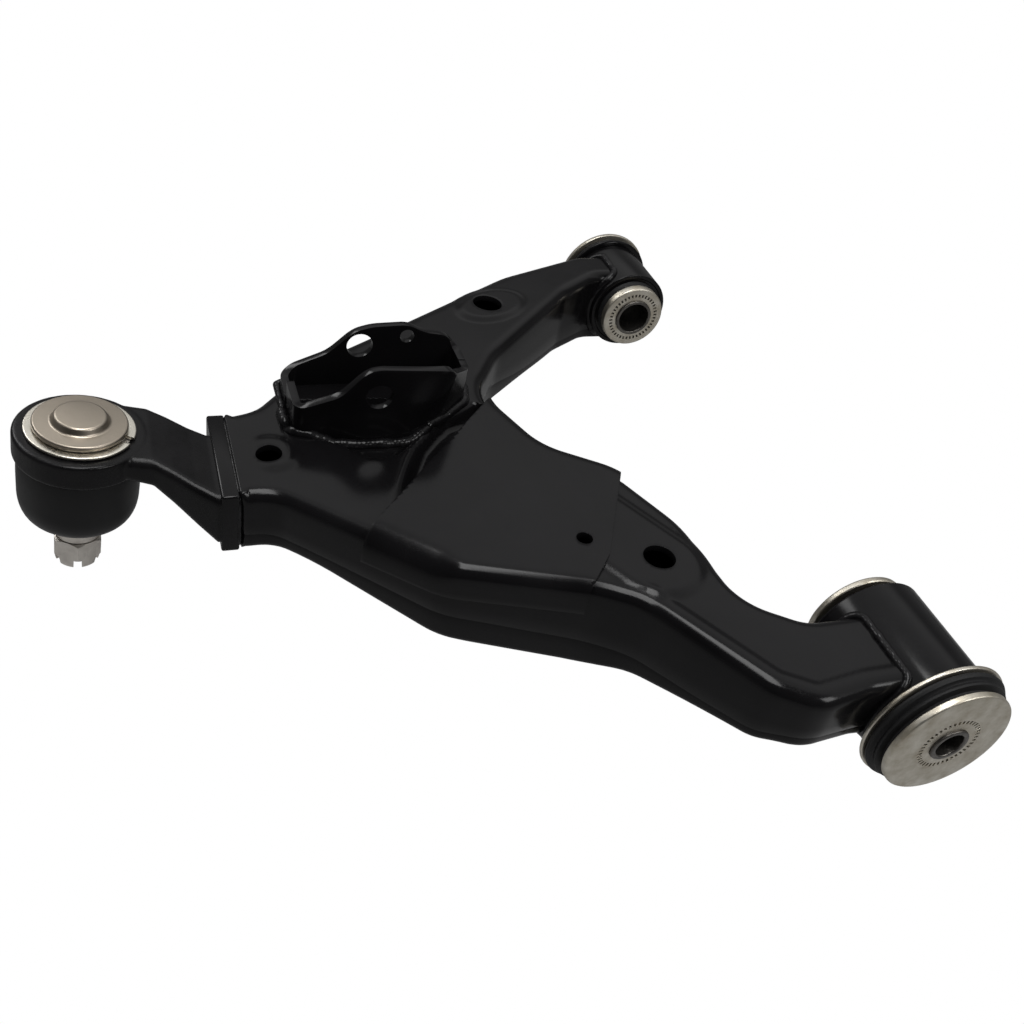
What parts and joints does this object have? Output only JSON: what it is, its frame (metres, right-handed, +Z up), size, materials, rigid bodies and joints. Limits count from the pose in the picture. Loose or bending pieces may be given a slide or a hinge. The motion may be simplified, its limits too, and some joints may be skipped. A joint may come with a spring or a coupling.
{
  "type": "suspension control arm",
  "caption": "A-shaped stamped steel lower control arm with bonded rubber pivot bushes, an open shock absorber bracket and a downward ball joint with a castle nut.",
  "frame": {"origin": "on the pivot axis, at the middle of the front bush tube", "axes": "+X along the pivot axis from the front bush to the rear bush, +Y out towards the ball joint, +Z up"},
  "size_m": [0.4491, 0.4378, 0.1094],
  "materials": {
    "black_paint": "satin black electro-dip paint on steel",
    "rubber": "matte black moulded rubber",
    "zinc": "warm zinc plate",
    "nickel": "warm nickel-grey plate",
    "steel": "plain machined steel",
    "nylon": "natural bearing nylon"
  },
  "bodies": {
    "bush_cores": {"front_bush_inner_sleeve": "steel", "front_bush_outer_washer": "zinc", "front_bush_inner_washer": "zinc", "rear_bush_inner_sleeve": "steel", "rear_bush_outer_washer": "zinc", "rear_bush_inner_washer": "zinc"},
    "arm": {"upper_shell": "black_paint", "lower_shell": "black_paint", "cover_plate": "black_paint", "shock_bracket_front": "black_paint", "shock_bracket_rear": "black_paint", "end_plate": "black_paint", "ball_joint_bracket": "black_paint", "front_bush_tube": "black_paint", "rear_bush_tube": "black_paint", "ball_joint_housing": "steel", "housing_cap": "nickel", "snap_ring": "zinc", "upper_ball_seat": "nylon", "lower_ball_seat": "nylon", "dust_boot": "rubber", "boot_clamp_ring": "steel", "front_bush_outer_sleeve": "zinc", "front_bush_rubber": "rubber", "rear_bush_outer_sleeve": "zinc", "rear_bush_rubber": "rubber"},
    "stud_swing_part": {"ball_liner": "nylon"},
    "stud_rock_part": {"boot_collar": "steel"},
    "stud": {"ball_stud": "steel", "castle_nut": "steel"}
  },
  "joints": [
    {"name": "arm_pivot", "type": "hinge", "parent": "bush_cores", "child": "arm", "pos_m": [0, 0, 0], "axis": [1, 0, 0], "range_deg": [-25, 25], "stiffness_Nm_per_rad": 230, "springref_deg": 3.44},
    {"name": "stud_swing", "type": "hinge", "parent": "arm", "child": "stud_swing_part", "pos_m": [0.181, 0.3712, 0.0115], "axis": [1, 0, 0], "range_deg": [-22, 22], "deforming": ["dust_boot"]},
    {"name": "stud_rock", "type": "hinge", "parent": "stud_swing_part", "child": "stud_rock_part", "pos_m": [0.181, 0.3712, 0.0115], "axis": [0, 0.9957, 0.0924], "range_deg": [-22, 22], "deforming": ["dust_boot"]},
    {"name": "stud_spin", "type": "hinge", "parent": "stud_rock_part", "child": "stud", "pos_m": [0.181, 0.3712, 0.0115], "axis": [0, -0.0924, 0.9957], "continuous": true}
  ]
}
